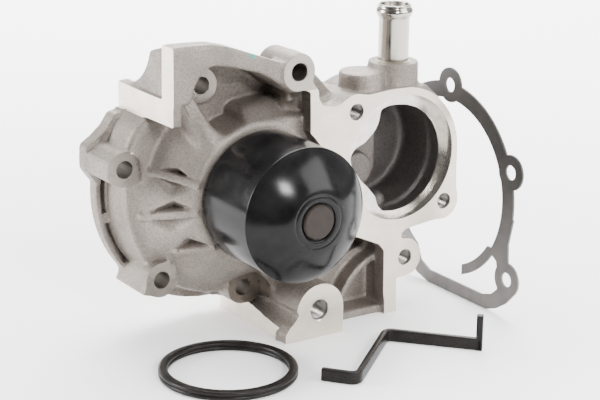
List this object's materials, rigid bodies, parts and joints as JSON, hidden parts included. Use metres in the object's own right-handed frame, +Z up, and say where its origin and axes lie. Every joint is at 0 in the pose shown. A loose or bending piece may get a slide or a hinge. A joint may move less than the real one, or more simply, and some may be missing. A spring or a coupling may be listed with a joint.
{
  "type": "water pump",
  "caption": "Engine coolant pump with cast body, built-in thermostat housing, smooth belt pulley, hose stub and loose seals.",
  "frame": {"origin": "on the shaft axis, in the plane of the face that bolts to the engine block", "axes": "-Y to the front where the pulley is, +Z up along the hose tube, +X towards the thermostat housing"},
  "size_m": [0.1829, 0.1421, 0.1492],
  "materials": {
    "cast_aluminium": "as cast, machined on the mating faces",
    "zinc_steel": "bright zinc plate",
    "bearing_steel": "ground",
    "cage_plastic": "glass-filled nylon",
    "black_rubber": "matt",
    "brass": "drawn",
    "spring_steel": "drawn wire",
    "carbon": "lapped",
    "seat_ceramic": "lapped silicon carbide",
    "shaft_steel": "ground and hardened, oiled",
    "impeller_steel": "pressed",
    "black_steel": "black satin coat",
    "gasket_sheet": "matt grey coated sheet"
  },
  "bodies": {
    "root": {"housing": "cast_aluminium", "hose_tube": "zinc_steel", "bearing_outer_ring": "bearing_steel", "bearing_seal_front": "black_rubber", "bearing_seal_rear": "black_rubber", "seal_case": "brass", "seal_bellows": "black_rubber", "seal_spring": "spring_steel", "carbon_ring": "carbon", "gasket": "gasket_sheet", "thermostat_ring": "black_rubber", "cover_seal_strip": "black_rubber"},
    "rotor": {"shaft": "shaft_steel", "pulley": "black_steel", "impeller": "impeller_steel", "slinger": "black_rubber", "seal_sleeve": "brass", "seat_cup": "black_rubber", "seat_ring": "seat_ceramic"},
    "ball_row": {"bearing_balls": "bearing_steel", "ball_cage": "cage_plastic"},
    "roller_row": {"bearing_rollers": "bearing_steel", "roller_cage": "cage_plastic"}
  },
  "joints": [
    {"name": "shaft_spin", "type": "hinge", "parent": "root", "child": "rotor", "pos_m": [0, -0.05, 0], "axis": [0, -1, 0], "continuous": true},
    {"name": "ball_cage_spin", "type": "hinge", "parent": "root", "child": "ball_row", "pos_m": [0, -0.044, 0], "axis": [0, -1, 0], "continuous": true},
    {"name": "roller_cage_spin", "type": "hinge", "parent": "root", "child": "roller_row", "pos_m": [0, -0.061, 0], "axis": [0, -1, 0], "continuous": true}
  ],
  "couplings": [
    {"joint": "ball_cage_spin", "follows": "shaft_spin", "ratio": 0.3531},
    {"joint": "roller_cage_spin", "follows": "shaft_spin", "ratio": 0.4008}
  ]
}
